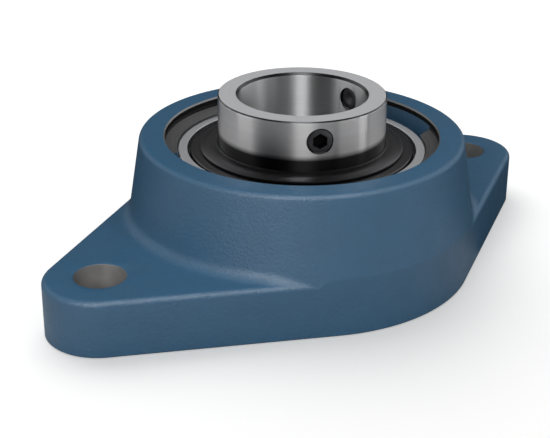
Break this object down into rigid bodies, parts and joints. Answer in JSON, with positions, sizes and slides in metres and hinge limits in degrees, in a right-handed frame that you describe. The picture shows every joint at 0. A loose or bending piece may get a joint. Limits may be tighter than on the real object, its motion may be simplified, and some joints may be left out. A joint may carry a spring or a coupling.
{
  "type": "flange bearing unit",
  "caption": "Two-bolt oval flange unit with a blue cast-iron housing, a sealed self-aligning insert with ball bearing, set screws and a grease nipple.",
  "frame": {"origin": "on the mounting face, on the bearing's axis, midway between the bolt holes", "axes": "+Z along the bearing's axis towards the set screws, +X from one bolt hole to the other, +Y towards the grease nipple"},
  "size_m": [0.142, 0.0907, 0.0422],
  "materials": {
    "blue_paint": "blue paint with a satin gloss on cast iron",
    "ring_steel": "ground bearing steel",
    "ball_steel": "polished bearing steel",
    "cage_plastic": "moulded glass-filled nylon",
    "washer_steel": "blackened sheet steel",
    "lip_rubber": "moulded black rubber",
    "flinger_steel": "blackened sheet steel, satin",
    "screw_steel": "black oxide on steel",
    "nipple_plating": "yellow zinc plate on steel",
    "spring_steel": "bright spring wire"
  },
  "bodies": {
    "housing": {"housing": "blue_paint", "nipple_body": "nipple_plating", "nipple_spring": "spring_steel"},
    "insert": {"outer_ring": "ring_steel", "front_seal_washer": "washer_steel", "front_seal_lip": "lip_rubber", "back_seal_washer": "washer_steel", "back_seal_lip": "lip_rubber"},
    "shaft_ring": {"inner_ring": "ring_steel", "front_flinger": "flinger_steel", "back_flinger": "flinger_steel"},
    "cage": {"cage": "cage_plastic"},
    "ball_1": {"ball_1": "ball_steel"},
    "ball_2": {"ball_2": "ball_steel"},
    "ball_3": {"ball_3": "ball_steel"},
    "ball_4": {"ball_4": "ball_steel"},
    "ball_5": {"ball_5": "ball_steel"},
    "ball_6": {"ball_6": "ball_steel"},
    "ball_7": {"ball_7": "ball_steel"},
    "ball_8": {"ball_8": "ball_steel"},
    "ball_9": {"ball_9": "ball_steel"},
    "set_screw_1": {"set_screw_1": "screw_steel"},
    "set_screw_2": {"set_screw_2": "screw_steel"},
    "nipple_ball": {"nipple_ball": "ball_steel"}
  },
  "joints": [
    {"name": "insert_align", "type": "hinge", "parent": "housing", "child": "insert", "pos_m": [0, 0, 0.02], "axis": [1, 0, 0], "range_deg": [-5, 5]},
    {"name": "shaft_spin", "type": "hinge", "parent": "insert", "child": "shaft_ring", "pos_m": [0, 0, 0.02], "axis": [0, 0, 1], "continuous": true},
    {"name": "cage_spin", "type": "hinge", "parent": "insert", "child": "cage", "pos_m": [0, 0, 0.02], "axis": [0, 0, 1], "continuous": true},
    {"name": "ball_1_spin", "type": "hinge", "parent": "cage", "child": "ball_1", "pos_m": [0.02161, 0.00787, 0.02], "axis": [0, 0, 1], "continuous": true},
    {"name": "ball_2_spin", "type": "hinge", "parent": "cage", "child": "ball_2", "pos_m": [0.0115, 0.01992, 0.02], "axis": [0, 0, 1], "continuous": true},
    {"name": "ball_3_spin", "type": "hinge", "parent": "cage", "child": "ball_3", "pos_m": [-0.00399, 0.02265, 0.02], "axis": [0, 0, 1], "continuous": true},
    {"name": "ball_4_spin", "type": "hinge", "parent": "cage", "child": "ball_4", "pos_m": [-0.01762, 0.01478, 0.02], "axis": [0, 0, 1], "continuous": true},
    {"name": "ball_5_spin", "type": "hinge", "parent": "cage", "child": "ball_5", "pos_m": [-0.023, 0, 0.02], "axis": [0, 0, 1], "continuous": true},
    {"name": "ball_6_spin", "type": "hinge", "parent": "cage", "child": "ball_6", "pos_m": [-0.01762, -0.01478, 0.02], "axis": [0, 0, 1], "continuous": true},
    {"name": "ball_7_spin", "type": "hinge", "parent": "cage", "child": "ball_7", "pos_m": [-0.00399, -0.02265, 0.02], "axis": [0, 0, 1], "continuous": true},
    {"name": "ball_8_spin", "type": "hinge", "parent": "cage", "child": "ball_8", "pos_m": [0.0115, -0.01992, 0.02], "axis": [0, 0, 1], "continuous": true},
    {"name": "ball_9_spin", "type": "hinge", "parent": "cage", "child": "ball_9", "pos_m": [0.02161, -0.00787, 0.02], "axis": [0, 0, 1], "continuous": true},
    {"name": "set_screw_1_feed", "type": "slide", "parent": "shaft_ring", "child": "set_screw_1", "axis": [0.5, 0.866, 0], "range_m": [-0.003, 0.00075]},
    {"name": "set_screw_2_feed", "type": "slide", "parent": "shaft_ring", "child": "set_screw_2", "axis": [-1, 0, 0], "range_m": [-0.003, 0.00075]},
    {"name": "nipple_valve", "type": "slide", "parent": "housing", "child": "nipple_ball", "axis": [0, -0.9397, -0.342], "range_m": [0, 0.0006], "stiffness_N_per_m": 200, "springref_m": -0.001, "deforming": ["nipple_spring"]}
  ],
  "couplings": [
    {"joint": "cage_spin", "follows": "shaft_spin", "ratio": 0.39647},
    {"joint": "ball_1_spin", "follows": "shaft_spin", "ratio": -2.3111},
    {"joint": "ball_2_spin", "follows": "shaft_spin", "ratio": -2.3111},
    {"joint": "ball_3_spin", "follows": "shaft_spin", "ratio": -2.3111},
    {"joint": "ball_4_spin", "follows": "shaft_spin", "ratio": -2.3111},
    {"joint": "ball_5_spin", "follows": "shaft_spin", "ratio": -2.3111},
    {"joint": "ball_6_spin", "follows": "shaft_spin", "ratio": -2.3111},
    {"joint": "ball_7_spin", "follows": "shaft_spin", "ratio": -2.3111},
    {"joint": "ball_8_spin", "follows": "shaft_spin", "ratio": -2.3111},
    {"joint": "ball_9_spin", "follows": "shaft_spin", "ratio": -2.3111}
  ]
}
